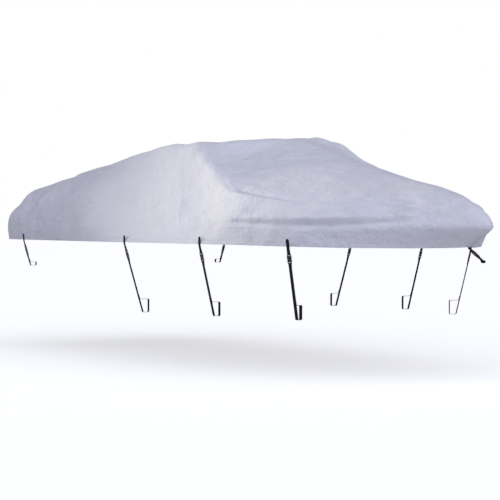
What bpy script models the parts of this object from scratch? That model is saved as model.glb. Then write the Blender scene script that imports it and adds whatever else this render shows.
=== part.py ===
"""A fitted boat cover as it hangs when it is strapped down, with its tie-downs.

The cover is one thin sewn sheet. It is stretched over the screen's top frame, slopes aft to a low
hump at the stern and forward to the bow, turns down over the gunwale and ends in a hem. Four
webbing tie-downs on each side and a short one under the bow pull it down.

Lengths are in metres. Heights in the tables count from the gunwale, places count forward from
near the stern, and half breadths from the middle line. The finished model is moved so that its
origin lies under the cloth, at the middle of the screen's top frame. +X is the bow, +Y is port.
"""
import math

import bpy
import numpy as np
from mathutils import Vector
from mathutils.bvhtree import BVHTree

# ---------------------------------------------------------------- driving dimensions
CLOTH = 0.0025            # thickness of the coated cloth
GAP = 0.0003              # clearance between pieces that touch
WEBBING_WIDTH = 0.025
WEBBING = 0.0016          # thickness of the webbing
HEM_DEPTH = 0.187         # hem below the gunwale amidships
SCREEN_PLACE = 2.60       # middle of the screen's top frame
LIST = 0.055              # the screen's top stands a little higher to port
LIST_PLACE = 2.66
LIST_REACH = 0.38         # how far fore and aft that shows
SOFT_EDGE = 0.03          # height over which the cloth rounds over the screen's frame
SCREEN_HALF_WIDTH = 0.72

TAB_ABOVE_HEM = 0.050
TAB_BELOW_HEM = 0.004     # a tab leaves the cloth this far below the hem
BUCKLE_WIDTH = 0.034
BUCKLE_THICK = 0.005
SOCKET_LENGTH = 0.034
PLUG_LENGTH = 0.026
BAR = 0.004               # bar of a buckle that the webbing is folded round
SLOT = 0.0036
RAIL_WIDTH = 0.050        # width of the rail that a strap goes round
LAP = 0.030               # length of strap sewn back on itself
PAIR = WEBBING / 2 + GAP / 2 + 0.0001    # from the middle of two layers to the middle of one
FOLD_TAPER = 0.012        # length over which two layers spread to pass a buckle's bar

# Each ring is a line round half the cover, one row for each station, from the middle of the stern
# (row 0) round the stern corner (rows 2 to 4) and along the side to the middle of the bow (row 16).
# Columns: place, half breadth, height.
HEM = [
    (-0.21, 0.000, -HEM_DEPTH), (-0.21, 0.500, -HEM_DEPTH), (-0.205, 0.86, -HEM_DEPTH),
    (-0.16, 0.955, -HEM_DEPTH), (-0.04, 0.985, -HEM_DEPTH), (0.40, 1.005, -HEM_DEPTH),
    (1.35, 1.038, -HEM_DEPTH), (2.00, 1.055, -0.186), (2.42, 1.052, -0.185),
    (3.05, 1.000, -0.187), (3.34, 0.952, -0.189), (3.70, 0.862, -0.194), (4.02, 0.718, -0.199),
    (4.28, 0.532, -0.203), (4.50, 0.310, -0.204), (4.70, 0.100, -0.202), (4.79, 0.000, -0.196),
]
BROW = [                  # where the hull is widest
    (-0.23, 0.000, -0.060), (-0.23, 0.500, -0.065), (-0.225, 0.87, -0.070),
    (-0.17, 0.970, -0.070), (-0.04, 1.000, -0.070), (0.40, 1.018, -0.070),
    (1.35, 1.043, -0.070), (2.00, 0.998, -0.070), (2.42, 0.998, -0.070),
    (2.97, 0.953, -0.070), (3.33, 0.968, -0.070), (3.72, 0.875, -0.070), (4.04, 0.738, -0.070),
    (4.32, 0.565, -0.069), (4.59, 0.345, -0.066), (4.86, 0.125, -0.066), (5.00, 0.000, -0.066),
]
FOLD = [                  # the fold over the gunwale; none amidships, an arch over the bow
    (-0.20, 0.000, 0.035), (-0.20, 0.500, 0.040), (-0.195, 0.85, 0.055),
    (-0.15, 0.945, 0.070), (-0.04, 0.978, 0.080), (0.40, 0.992, 0.085),
    (1.35, 0.995, 0.070), (2.00, 0.963, 0.000), (2.42, 0.964, 0.000),
    (2.92, 0.924, 0.000), (3.32, 0.963, 0.000), (3.70, 0.875, 0.000), (4.02, 0.738, 0.000),
    (4.26, 0.585, 0.002), (4.45, 0.405, 0.020), (4.63, 0.205, 0.084), (4.69, 0.000, 0.133),
]
RIDGE = [                 # the taut ridge from the stern hump along the screen's corners to the bow
    (-0.08, 0.000, 0.280), (-0.09, 0.450, 0.270), (-0.09, 0.700, 0.240),
    (-0.03, 0.735, 0.250), (0.10, 0.730, 0.270), (0.45, 0.715, 0.322),
    (1.35, 0.700, 0.446), (2.00, 0.700, 0.530), (2.42, 0.700, 0.547),
    (2.60, 0.733, 0.471), (3.32, 0.870, 0.170), (3.70, 0.790, 0.115), (4.00, 0.660, 0.095),
    (4.22, 0.510, 0.092), (4.37, 0.355, 0.100), (4.49, 0.180, 0.148), (4.55, 0.000, 0.174),
]
SPINE = [                 # places on the middle line where the rows of the cloth meet
    0.32, 0.34, 0.36, 0.42, 0.50, 0.76, 1.42, 2.03, 2.42, 2.62, 3.25, 3.60, 3.88, 4.05, 4.18,
    4.24, 4.28,
]
SIDE_BULGE = [            # how far the cloth between fold and ridge stands out, at each station
    0.03, 0.03, 0.02, 0.02, 0.02, 0.020, 0.012, 0, 0, 0, 0, 0, 0, 0, 0, 0, 0,
]
STEPS = [3, 3, 2, 2, 3, 4, 6, 5, 2, 8, 4, 4, 4, 4, 4, 3]    # rows of facets between stations

# The cloth over the middle is the lower of two sheets, one aft of the screen and one forward.
# Columns: place, half width, height at that width, height in the middle, flatness across.
AFT_SHEET = [
    (-0.10, 0.72, 0.238, 0.275, 2.2), (0.30, 0.73, 0.300, 0.310, 2.2),
    (0.73, 0.71, 0.362, 0.345, 2.2), (1.00, 0.70, 0.398, 0.375, 2.2),
    (1.41, 0.70, 0.455, 0.430, 2.2), (1.80, 0.70, 0.510, 0.490, 2.2),
    (2.04, 0.70, 0.533, 0.530, 2.2), (2.28, 0.70, 0.547, 0.560, 2.2),
    (2.42, 0.70, 0.548, 0.574, 2.2), (2.70, 0.70, 0.550, 0.584, 2.2),
    (3.00, 0.70, 0.550, 0.586, 2.2),
]
FORE_SHEET = [
    (2.00, 0.62, 0.720, 0.780, 4.0), (2.42, 0.70, 0.549, 0.680, 4.0),
    (2.60, 0.73, 0.470, 0.637, 2.8), (2.85, 0.785, 0.370, 0.573, 1.25),
    (3.32, 0.87, 0.170, 0.450, 1.15), (3.70, 0.80, 0.115, 0.360, 1.2),
    (4.00, 0.68, 0.095, 0.287, 1.3), (4.30, 0.52, 0.085, 0.230, 1.4),
    (4.50, 0.39, 0.085, 0.185, 1.5), (4.72, 0.30, 0.100, 0.125, 1.5),
]
SHARE_TUCK = [0.5]                        # rows between hem and brow
SHARE_SKIRT = [0.35, 0.7]                 # rows between brow and fold
SHARE_SIDE = [0.25, 0.5, 0.75]            # rows between fold and ridge
SHARE_TOP = [0.14, 0.30, 0.46, 0.64, 0.82, 1.0]    # rows between ridge and middle line
NOSE_FULLNESS = 0.40                      # how far the cloth over the bow fills its corner
NOSE_STATION = 13.5                       # the rounding over the bow grows from this station

# Tie-downs on each side. The strap's loop goes round a rail. Columns: name, place, depth of the
# rail's underside below the gunwale, how far inboard of the hem its outer face lies, its height.
TIE_DOWNS = [
    ("stern", 0.22, 0.405, 0.060, 0.030),
    ("quarter", 2.06, 0.716, 0.157, 0.100),
    ("middle", 3.05, 0.700, 0.130, 0.100),
    ("bow", 3.86, 0.697, 0.115, 0.100),
]
BUCKLE_DEPTH = 0.252      # top of the buckle below the gunwale
BOW_BUCKLE = (0.022, -0.026)    # top of the bow's buckle, ahead of and below the hem's edge
BOW_EYE = (0.130, -0.092)       # the eye that the bow strap goes round, ahead of and below it
EYE_RADIUS = 0.009
BOW_TAB_LAP = 0.016
BOW_TAB_HEIGHTS = [0.040, 0.025, 0.010]       # the bow's tab is sewn inside, from here down
BOW_TAB_TURN = [(-0.021, -0.013), (-0.020, -0.018), (-0.013, -0.0205)]    # its way under the hem


# ---------------------------------------------------------------- form of the cover
def smooth(rows, values, at, level_ends=False):
    """A curve through values at rows that never overshoots them, read at the places in at."""
    rows = np.asarray(rows, float)
    values = np.asarray(values, float)
    steps = np.diff(rows)
    rises = np.diff(values) / steps
    slopes = np.zeros(len(values))
    if not level_ends:
        slopes[0], slopes[-1] = rises[0], rises[-1]
    for i in range(1, len(rises)):
        if rises[i - 1] * rises[i] > 0:
            near = 2 * steps[i] + steps[i - 1]
            far = steps[i] + 2 * steps[i - 1]
            slopes[i] = (near + far) / (near / rises[i - 1] + far / rises[i])
    at = np.clip(np.asarray(at, float), rows[0], rows[-1])
    i = np.clip(np.searchsorted(rows, at) - 1, 0, len(rises) - 1)
    t = (at - rows[i]) / steps[i]
    return ((2 * t**3 - 3 * t**2 + 1) * values[i] + (t**3 - 2 * t**2 + t) * steps[i] * slopes[i]
            + (3 * t**2 - 2 * t**3) * values[i + 1] + (t**3 - t**2) * steps[i] * slopes[i + 1])


def ring(table, at):
    """Points of a ring at the stations in at, as columns place, half breadth, height."""
    place, half, height = np.array(table, float).T
    rows = range(len(table))
    return np.stack([smooth(rows, place, at, True), smooth(rows, half, at),
                     smooth(rows, height, at, True)], axis=-1)


def sheet_height(table, place, across):
    columns = np.array(table, float).T
    width, edge, middle, flatness = [smooth(columns[0], column, place) for column in columns[1:]]
    return middle + (edge - middle) * (np.abs(across) / width) ** flatness


def top_height(place, across):
    """Height of the cloth over the middle: the lower sheet, rounded where the two meet."""
    aft = sheet_height(AFT_SHEET, place, across)
    fore = sheet_height(FORE_SHEET, place, across)
    share = np.clip(0.5 + 0.5 * (fore - aft) / SOFT_EDGE, 0, 1)
    return fore * (1 - share) + aft * share - SOFT_EDGE * share * (1 - share)


def side_rows(fold, ridge, at):
    """Rows between the fold and the ridge, bulged outward by the table's amounts."""
    across = ridge - fold
    level = np.hypot(across[:, 0], across[:, 1])[:, None]
    outward = -across[:, :2] / (level + 1e-9)
    length = np.linalg.norm(across, axis=1)[:, None]
    normal = np.concatenate([outward * across[:, 2:] / length, level / length], axis=1)
    bulge = smooth(range(len(SIDE_BULGE)), SIDE_BULGE, at)[:, None]
    return [fold + across * share + normal * bulge * 4 * share * (1 - share) for share in SHARE_SIDE]


def skirt_rows(brow, fold, at):
    """Rows between the brow and the fold: straight along the side, a full round over the bow."""
    corner = np.stack([brow[:, 0], brow[:, 1], fold[:, 2]], axis=1)
    pull = NOSE_FULLNESS * corner + (1 - NOSE_FULLNESS) * (brow + fold) / 2
    nose = np.clip((at - NOSE_STATION) / 1.5, 0, 1)[:, None]
    rows = []
    for share in SHARE_SKIRT:
        straight = brow + (fold - brow) * share
        full = (1 - share)**2 * brow + 2 * share * (1 - share) * pull + share**2 * fold
        rows.append(straight * (1 - nose) + full * nose)
    return rows


def top_rows(ridge, at):
    """Rows from the ridge to the middle line, laid on the two sheets."""
    spine = smooth(range(len(SPINE)), SPINE, at, True)
    lift = ridge[:, 2] - top_height(ridge[:, 0], ridge[:, 1])
    rows = []
    for share in SHARE_TOP:
        place = ridge[:, 0] * (1 - share) + spine * share
        across = ridge[:, 1] * (1 - share)
        height = top_height(place, across) + lift * (1 - share)**2
        rows.append(np.stack([place, across, height], axis=1))
    return rows


def half_rows(at):
    """All rows of one half, from the hem up to the middle line, at the stations in at."""
    hem, brow, fold, ridge = [ring(table, at) for table in (HEM, BROW, FOLD, RIDGE)]
    tuck = [hem + (brow - hem) * share for share in SHARE_TUCK]
    return ([hem] + tuck + [brow] + skirt_rows(brow, fold, at) + [fold]
            + side_rows(fold, ridge, at) + [ridge] + top_rows(ridge, at))


def listed(points, side):
    """Mirror half rows to a side, and let the screen's top stand higher to port."""
    points = points * np.array([1, side, 1])
    near = np.exp(-((points[..., 0] - LIST_PLACE) / LIST_REACH) ** 2)
    inside = np.clip(1 - (points[..., 1] / SCREEN_HALF_WIDTH) ** 2, 0, 1)
    points[..., 2] += LIST * points[..., 1] * near * inside
    return points


def cover_surface():
    """Vertices and faces of the outer face, one closed ring of quads above the other."""
    at = [i + k / steps for i, steps in enumerate(STEPS) for k in range(steps)]
    at = np.array(at + [len(STEPS)])
    half = np.array(half_rows(at))
    starboard = listed(half, -1)
    port = listed(half[:, -2:0:-1], 1)
    rows = np.concatenate([starboard, port], axis=1)
    count = rows.shape[1]
    last = len(at) - 1
    points = [tuple(point) for point in rows[:-1].reshape(-1, 3)]
    first_spine = len(points)
    points += [tuple(point) for point in rows[-1, :last + 1]]

    def index(row, column):
        column %= count
        if row < len(rows) - 1:
            return row * count + column
        return first_spine + min(column, count - column)

    faces = []
    for row in range(len(rows) - 1):
        for column in range(count):
            loop = [index(row, column), index(row, column + 1),
                    index(row + 1, column + 1), index(row + 1, column)]
            faces.append([v for k, v in enumerate(loop) if v not in loop[:k]])
    return points, [face for face in faces if len(face) > 2]


ORIGIN = Vector((SCREEN_PLACE, 0.0, float(top_height(SCREEN_PLACE, 0.0)) - CLOTH))


# ---------------------------------------------------------------- shared helpers
def material(name, colour, roughness):
    made = bpy.data.materials.new(name)
    made.use_nodes = True
    shader = made.node_tree.nodes["Principled BSDF"]
    shader.inputs["Base Color"].default_value = (*colour, 1.0)
    shader.inputs["Roughness"].default_value = roughness
    shader.inputs["Metallic"].default_value = 0.0
    return made


def add_object(name, points, faces, finish):
    mesh = bpy.data.meshes.new(name)
    mesh.from_pydata([tuple(point) for point in points], [], faces)
    mesh.validate()
    made = bpy.data.objects.new(name, mesh)
    bpy.context.scene.collection.objects.link(made)
    mesh.materials.append(finish)
    return made


def make_cover(finish):
    points, faces = cover_surface()
    moved = [Vector(point) - ORIGIN for point in points]
    cover = add_object("cover_cloth", moved, faces, finish)
    thick = cover.modifiers.new("thickness", "SOLIDIFY")
    thick.thickness = CLOTH
    thick.offset = -1.0
    thick.use_even_offset = True
    cover.data.shade_smooth()
    return cover


# ---------------------------------------------------------------- tie-downs
class Hang:
    """A vertical plane in which a tie-down lies, square to the hem at one place.

    Points in it are (out, up): out from the hem's outer face, up from the gunwale's height.
    """

    def __init__(self, foot, outward):
        self.foot = Vector((foot[0], foot[1], 0.0)) - Vector((0, 0, ORIGIN.z))
        self.outward = Vector((outward[0], outward[1], 0.0)).normalized()
        self.along = self.outward.cross(Vector((0, 0, 1)))

    def point(self, out, up, along=0.0):
        return self.foot + self.outward * out + Vector((0, 0, up)) + self.along * along


def side_hang(place, side):
    """The hanging plane at a place along the hem of one side."""
    stations = np.linspace(4, 14, 2001)
    hem = ring(HEM, stations)
    i = int(np.argmin(np.abs(hem[:, 0] - place)))
    tangent = hem[i + 1] - hem[i - 1]
    foot = (hem[i, 0] - ORIGIN.x, side * hem[i, 1])
    return Hang(foot, (-tangent[1], side * tangent[0])), float(hem[i, 2])


def ribbon(name, hang, path, width, thick, finish):
    """A flat strip of webbing along a path of (out, up) points, closed at both ends."""
    path = [Vector(point) for point in path]
    count = len(path)
    sides = []
    for i, point in enumerate(path):
        before = (point - path[i - 1]).normalized() if i else None
        after = (path[i + 1] - point).normalized() if i < count - 1 else None
        run = ((before or after) + (after or before)).normalized()
        across = Vector((-run.y, run.x))
        stretch = 1.0 / max(0.5, run.dot(after or before))
        sides.append(across * (thick / 2 * stretch))
    points = []
    for point, half in zip(path, sides):
        for corner, along in ((half, -1), (half, 1), (-half, 1), (-half, -1)):
            out, up = point + corner
            points.append(hang.point(out, up, along * width / 2))
    faces = [[3, 2, 1, 0]]
    for i in range(count - 1):
        for k in range(4):
            faces.append([4 * i + k, 4 * i + (k + 1) % 4,
                          4 * i + 4 + (k + 1) % 4, 4 * i + 4 + k])
    faces.append([4 * count - 4 + k for k in range(4)])
    return add_object(name, points, faces, finish)


def bend(centre, radius, start, end, steps):
    """Points of an arc about (out, up), its angles in degrees counted from straight outward."""
    angles = [math.radians(start + (end - start) * k / steps) for k in range(steps + 1)]
    return [(centre[0] + radius * math.cos(a), centre[1] + radius * math.sin(a)) for a in angles]


def along_line(start, end, count):
    """Points between start and end, both left out."""
    return [tuple(np.array(start) + (np.array(end) - np.array(start)) * k / (count + 1))
            for k in range(1, count + 1)]


def buckle_plate(name, hang, seat, lean, length, bar_at_top, finish):
    """A flat plastic buckle half with a bar and slot at one end. seat is the middle of its top."""
    half = BUCKLE_WIDTH / 2
    slot_half = WEBBING_WIDTH / 2 + 0.001
    columns = [-half, -slot_half, slot_half, half]
    ends = [0.0, BAR, BAR + SLOT, length]
    downs = ends if bar_at_top else [length - end for end in reversed(ends)]
    points = []
    for face in (BUCKLE_THICK / 2, -BUCKLE_THICK / 2):
        for down in downs:
            for column in columns:
                out = seat[0] + face * math.cos(lean) - down * math.sin(lean)
                up = seat[1] - face * math.sin(lean) - down * math.cos(lean)
                points.append(hang.point(out, up, column))
    faces = []
    cells = [(r, c) for r in range(3) for c in range(3) if (r, c) != (1, 1)]
    for r, c in cells:
        loop = [4 * r + c, 4 * r + c + 1, 4 * r + c + 5, 4 * r + c + 4]
        faces.append(loop)
        faces.append([16 + v for v in reversed(loop)])
    rim = [0, 1, 2, 3, 7, 11, 15, 14, 13, 12, 8, 4]
    slot = [5, 9, 10, 6]
    for loop in (rim, slot):
        for a, b in zip(loop, loop[1:] + loop[:1]):
            faces.append([b, a, 16 + a, 16 + b])
    return add_object(name, points, faces, finish)


def cloth_face(tree, hang, up, inside=False):
    """How far out the middle of webbing sewn on the cloth lies at one height, on either face."""
    facing = 1 if inside else -1
    reaches = []
    for along in (-WEBBING_WIDTH / 2, 0.0, WEBBING_WIDTH / 2):
        start = hang.point(-facing * 0.2, up, along)
        hit = tree.ray_cast(start, hang.outward * facing)[0]
        if hit:
            reaches.append((hit - hang.foot).dot(hang.outward))
    clear = GAP + WEBBING / 2
    return min(reaches) - clear if inside else max(reaches + [0.0]) + clear


def turned(points, pivot, lean):
    """Points given as (out, down) from a pivot, turned so that down leans inboard by lean."""
    return [(pivot[0] + out * math.cos(lean) - down * math.sin(lean),
             pivot[1] - out * math.sin(lean) - down * math.cos(lean)) for out, down in points]


def fold_round_bar(to_bar):
    """(out, down) points of webbing that comes along one face of a bar, round it and back."""
    clear = BUCKLE_THICK / 2 + GAP + WEBBING / 2
    far = BAR + GAP + WEBBING / 2
    front = [(PAIR, -FOLD_TAPER), (clear, -0.001), (clear, BAR + 0.0004), (clear - 0.0006, far)]
    back = [(-out, down) for out, down in reversed(front)]
    return [(out, down if to_bar else -down) for out, down in front + back]


def rail_loop(outer, under, tall, lean):
    """A strap's path to a rail's lower outer edge, under it, up behind, over it and up on itself.

    The strap reaches the lower edge in one straight line, so the run over the rail is longer.
    """
    inner = outer - RAIL_WIDTH
    top = under + tall
    corner = 0.005
    cut = corner * 0.3
    meet = outer + tall * math.tan(lean)
    lap = turned([(-2 * PAIR, -0.005), (-2 * PAIR, -LAP)], (meet, top), lean)
    return [(outer, under + corner), (outer - cut, under + cut), (outer - corner, under),
            (outer - RAIL_WIDTH / 2, under), (inner + corner, under), (inner + cut, under + cut),
            (inner, under + corner), (inner, top - corner), (inner + cut, top - cut),
            (inner + corner, top), (meet - 2 * PAIR - corner, top)] + lap


def make_tie_down(label, hang, tab, seat, aim, far_end, finishes, tab_lap=LAP):
    """Tab, buckle halves and strap of one tie-down.

    tab is the (out, up) path of the tab down to its buckle, seat the middle of the buckle's top
    and aim the point that the buckle hangs towards. far_end(lean) is the strap's path from there.
    """
    webbing, plastic = finishes
    lean = math.atan2(seat[0] - aim[0], seat[1] - aim[1])
    folded = turned([(PAIR, -tab_lap)] + fold_round_bar(True) + [(-PAIR, -tab_lap)], seat, lean)
    ribbon(label + "_tab", hang, tab + along_line(tab[-1], folded[0], 2) + folded,
           WEBBING_WIDTH, WEBBING, webbing)
    buckle_plate(label + "_socket", hang, seat, lean, SOCKET_LENGTH, True, plastic)
    plug_seat = turned([(0.0, SOCKET_LENGTH + GAP)], seat, lean)[0]
    buckle_plate(label + "_plug", hang, plug_seat, lean, PLUG_LENGTH, False, plastic)
    bar = turned([(0.0, SOCKET_LENGTH + GAP + PLUG_LENGTH)], seat, lean)[0]
    wrap = turned([(-PAIR, LAP)] + fold_round_bar(False)[::-1], bar, lean)
    far = far_end(lean)
    strap = wrap + along_line(wrap[-1], far[0], 8) + far
    ribbon(label + "_strap", hang, strap, WEBBING_WIDTH, WEBBING, webbing)


def make_side_tie_down(label, hang, hem_up, rail, tree, finishes):
    """A tie-down at the side. Its tab is sewn on outside, and its strap goes round a rail."""
    outer, under, tall = rail
    tab = [(cloth_face(tree, hang, float(up)), float(up))
           for up in np.linspace(hem_up + TAB_ABOVE_HEM, hem_up - TAB_BELOW_HEM, 5)]
    share = (tab[-1][1] + BUCKLE_DEPTH) / (tab[-1][1] - under)
    seat = (tab[-1][0] + (outer - tab[-1][0]) * share, -BUCKLE_DEPTH)
    make_tie_down(label, hang, tab, seat, (outer, under),
                  lambda lean: rail_loop(outer, under, tall, lean), finishes)


def make_bow_tie_down(tree, finishes):
    """The short tie-down under the bow. Its tab is sewn inside the hem, its strap ends in an eye."""
    edge = HEM[-1]
    hang = Hang((edge[0] - ORIGIN.x, 0.0), (1, 0))
    slope = (BROW[-1][0] - edge[0]) / (BROW[-1][2] - edge[2])
    aslant = (GAP + WEBBING / 2) * (math.hypot(1.0, slope) - 1.0)
    tab = [(cloth_face(tree, hang, edge[2] + above, inside=True) - aslant, edge[2] + above)
           for above in BOW_TAB_HEIGHTS]
    last = tab[-1]
    tab += [(last[0] + out, last[1] + up) for out, up in BOW_TAB_TURN]
    seat = (BOW_BUCKLE[0], edge[2] + BOW_BUCKLE[1])
    aim = (BOW_EYE[0], edge[2] + BOW_EYE[1])

    def eye(lean):
        turn = bend((0.0, 0.0), EYE_RADIUS, 50, -230, 8)
        turn = [(out, -up) for out, up in turn] + [(-PAIR, -0.014), (-PAIR, -0.022)]
        return turned([(PAIR, -0.016)] + turn, aim, lean)

    make_tie_down("bow", hang, tab, seat, aim, eye, finishes, BOW_TAB_LAP)


def main():
    for leftover in list(bpy.data.objects):
        bpy.data.objects.remove(leftover, do_unlink=True)
    cloth = material("cover_cloth", (0.62, 0.62, 0.70), 0.75)
    webbing = material("black_webbing", (0.015, 0.015, 0.018), 0.80)
    plastic = material("black_plastic", (0.02, 0.02, 0.022), 0.45)
    cover = make_cover(cloth)
    graph = bpy.context.evaluated_depsgraph_get()
    tree = BVHTree.FromObject(cover, graph)
    for side, side_name in ((-1, "starboard"), (1, "port")):
        for name, place, depth, inboard, tall in TIE_DOWNS:
            hang, hem_up = side_hang(place, side)
            label = side_name + "_" + name
            rail = (-inboard, -depth, tall)
            make_side_tie_down(label, hang, hem_up, rail, tree, (webbing, plastic))
    make_bow_tie_down(tree, (webbing, plastic))


main()
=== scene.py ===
"""Looks of the fitted boat cover: its cloth, webbing tie-downs and buckles.

The cover's form is worked out here as in the part's source, from the same tables, but much finer
and with rounded folds, hems, creases and stitching. Lengths are in metres, but for the creases'.
Heights in the tables count from the gunwale, places count forward from near the stern and half
breadths from the middle line; ORIGIN moves them into the frame. +X is the bow, +Y port and +Z up.
"""
import math

import bpy
import numpy as np
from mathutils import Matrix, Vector
from mathutils.bvhtree import BVHTree


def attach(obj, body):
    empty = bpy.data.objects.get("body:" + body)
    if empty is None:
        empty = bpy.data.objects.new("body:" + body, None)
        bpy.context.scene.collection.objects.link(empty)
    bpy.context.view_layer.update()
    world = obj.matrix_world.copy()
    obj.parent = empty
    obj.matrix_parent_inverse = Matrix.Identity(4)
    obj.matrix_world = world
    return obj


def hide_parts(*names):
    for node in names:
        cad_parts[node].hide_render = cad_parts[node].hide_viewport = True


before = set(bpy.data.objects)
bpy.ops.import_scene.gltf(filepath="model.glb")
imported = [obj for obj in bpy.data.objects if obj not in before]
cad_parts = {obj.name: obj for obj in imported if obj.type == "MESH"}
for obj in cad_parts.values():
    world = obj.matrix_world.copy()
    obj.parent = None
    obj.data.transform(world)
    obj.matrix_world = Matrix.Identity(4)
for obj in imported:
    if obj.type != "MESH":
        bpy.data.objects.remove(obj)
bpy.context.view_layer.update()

# ---- driving dimensions of the frame
CLOTH = 0.0025  # thickness
GAP = 0.0003  # between pieces that touch
WEBBING_WIDTH = 0.025
WEBBING = 0.0016  # thickness
HEM_DEPTH = 0.187
SCREEN_PLACE = 2.6
LIST = 0.055  # how much higher a metre to port the screen's top stands
LIST_PLACE = 2.66
LIST_REACH = 0.38
SOFT_EDGE = 0.03  # the height over which the two sheets of the top blend
SCREEN_HALF_WIDTH = 0.72
TAB_ABOVE_HEM = 0.05
TAB_BELOW_HEM = 0.004
BUCKLE_WIDTH = 0.034
BUCKLE_THICK = 0.005
SOCKET_LENGTH = 0.034
PLUG_LENGTH = 0.026
BAR = 0.004
SLOT = 0.0036
RAIL_WIDTH = 0.05
LAP = 0.03  # webbing that is sewn back on itself
PAIR = WEBBING / 2 + GAP / 2 + 0.0001  # from the middle of a lap to that of each webbing
CLEAR = GAP + WEBBING / 2  # from a face to the middle of webbing that lies on it
FOLD_TAPER = 0.012

# Columns: place, half breadth, height; a row for each station from the stern to the bow.
HEM = [
    (-0.21, 0.0, -HEM_DEPTH), (-0.21, 0.5, -HEM_DEPTH), (-0.205, 0.86, -HEM_DEPTH),
    (-0.16, 0.955, -HEM_DEPTH), (-0.04, 0.985, -HEM_DEPTH), (0.4, 1.005, -HEM_DEPTH),
    (1.35, 1.038, -HEM_DEPTH), (2.0, 1.055, -0.186), (2.42, 1.052, -0.185),
    (3.05, 1.0, -0.187), (3.34, 0.952, -0.189), (3.7, 0.862, -0.194), (4.02, 0.718, -0.199),
    (4.28, 0.532, -0.203), (4.5, 0.31, -0.204), (4.7, 0.1, -0.202), (4.79, 0.0, -0.196),
]
BROW = [
    (-0.23, 0.0, -0.06), (-0.23, 0.5, -0.065), (-0.225, 0.87, -0.07),
    (-0.17, 0.97, -0.07), (-0.04, 1.0, -0.07), (0.4, 1.018, -0.07),
    (1.35, 1.043, -0.07), (2.0, 0.998, -0.07), (2.42, 0.998, -0.07),
    (2.97, 0.953, -0.07), (3.33, 0.968, -0.07), (3.72, 0.875, -0.07), (4.04, 0.738, -0.07),
    (4.32, 0.565, -0.069), (4.59, 0.345, -0.066), (4.86, 0.125, -0.066), (5.0, 0.0, -0.066),
]
FOLD = [
    (-0.2, 0.0, 0.035), (-0.2, 0.5, 0.04), (-0.195, 0.85, 0.055),
    (-0.15, 0.945, 0.07), (-0.04, 0.978, 0.08), (0.4, 0.992, 0.085),
    (1.35, 0.995, 0.07), (2.0, 0.963, 0.0), (2.42, 0.964, 0.0),
    (2.92, 0.924, 0.0), (3.32, 0.963, 0.0), (3.7, 0.875, 0.0), (4.02, 0.738, 0.0),
    (4.26, 0.585, 0.002), (4.45, 0.405, 0.02), (4.63, 0.205, 0.084), (4.69, 0.0, 0.133),
]
RIDGE = [
    (-0.08, 0.0, 0.28), (-0.09, 0.45, 0.27), (-0.09, 0.7, 0.24),
    (-0.03, 0.735, 0.25), (0.1, 0.73, 0.27), (0.45, 0.715, 0.322),
    (1.35, 0.7, 0.446), (2.0, 0.7, 0.53), (2.42, 0.7, 0.547),
    (2.6, 0.733, 0.471), (3.32, 0.87, 0.17), (3.7, 0.79, 0.115), (4.0, 0.66, 0.095),
    (4.22, 0.51, 0.092), (4.37, 0.355, 0.1), (4.49, 0.18, 0.148), (4.55, 0.0, 0.174),
]
SPINE = [
    0.32, 0.34, 0.36, 0.42, 0.5, 0.76, 1.42, 2.03, 2.42, 2.62, 3.25, 3.6, 3.88, 4.05, 4.18,
    4.24, 4.28,
]
SIDE_BULGE = [0.03, 0.03, 0.02, 0.02, 0.02, 0.02, 0.012] + [0] * 10
# Columns: place, half width, height at that width, height in the middle, flatness across.
AFT_SHEET = [
    (-0.1, 0.72, 0.238, 0.275, 2.2), (0.3, 0.73, 0.3, 0.31, 2.2),
    (0.73, 0.71, 0.362, 0.345, 2.2), (1.0, 0.7, 0.398, 0.375, 2.2),
    (1.41, 0.7, 0.455, 0.43, 2.2), (1.8, 0.7, 0.51, 0.49, 2.2),
    (2.04, 0.7, 0.533, 0.53, 2.2), (2.28, 0.7, 0.547, 0.56, 2.2),
    (2.42, 0.7, 0.548, 0.574, 2.2), (2.7, 0.7, 0.55, 0.584, 2.2),
    (3.0, 0.7, 0.55, 0.586, 2.2),
]
FORE_SHEET = [
    (2.0, 0.62, 0.72, 0.78, 4.0), (2.42, 0.7, 0.549, 0.68, 4.0),
    (2.6, 0.73, 0.47, 0.637, 2.8), (2.85, 0.785, 0.37, 0.573, 1.25),
    (3.32, 0.87, 0.17, 0.45, 1.15), (3.7, 0.8, 0.115, 0.36, 1.2),
    (4.0, 0.68, 0.095, 0.287, 1.3), (4.3, 0.52, 0.085, 0.23, 1.4),
    (4.5, 0.39, 0.085, 0.185, 1.5), (4.72, 0.3, 0.1, 0.125, 1.5),
]
NOSE_FULLNESS = 0.4
NOSE_STATION = 13.5
NOSE_SPAN = 1.5

CLOTH_COLOUR = (0.62, 0.62, 0.7)
MOTTLE = 0.035  # how much paler and darker the cloth is in patches
WRINKLE = 0.026  # depths of the fine relief in the cloth's finish
CRINKLE = 0.0045

# Columns: name, place, depth of the rail's underside, its distance inboard, its height.
TIE_DOWNS = [
    ("stern", 0.22, 0.405, 0.06, 0.03),
    ("quarter", 2.06, 0.716, 0.157, 0.1),
    ("middle", 3.05, 0.7, 0.13, 0.1),
    ("bow", 3.86, 0.697, 0.115, 0.1),
]
BUCKLE_DEPTH = 0.252
BOW_BUCKLE = (0.022, -0.026)
BOW_EYE = (0.13, -0.092)
EYE_RADIUS = 0.009
BOW_TAB_LAP = 0.016
BOW_TAB_HEIGHTS = [0.04, 0.025, 0.01]
BOW_TAB_TURN = [(-0.021, -0.013), (-0.02, -0.018), (-0.013, -0.0205)]

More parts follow.
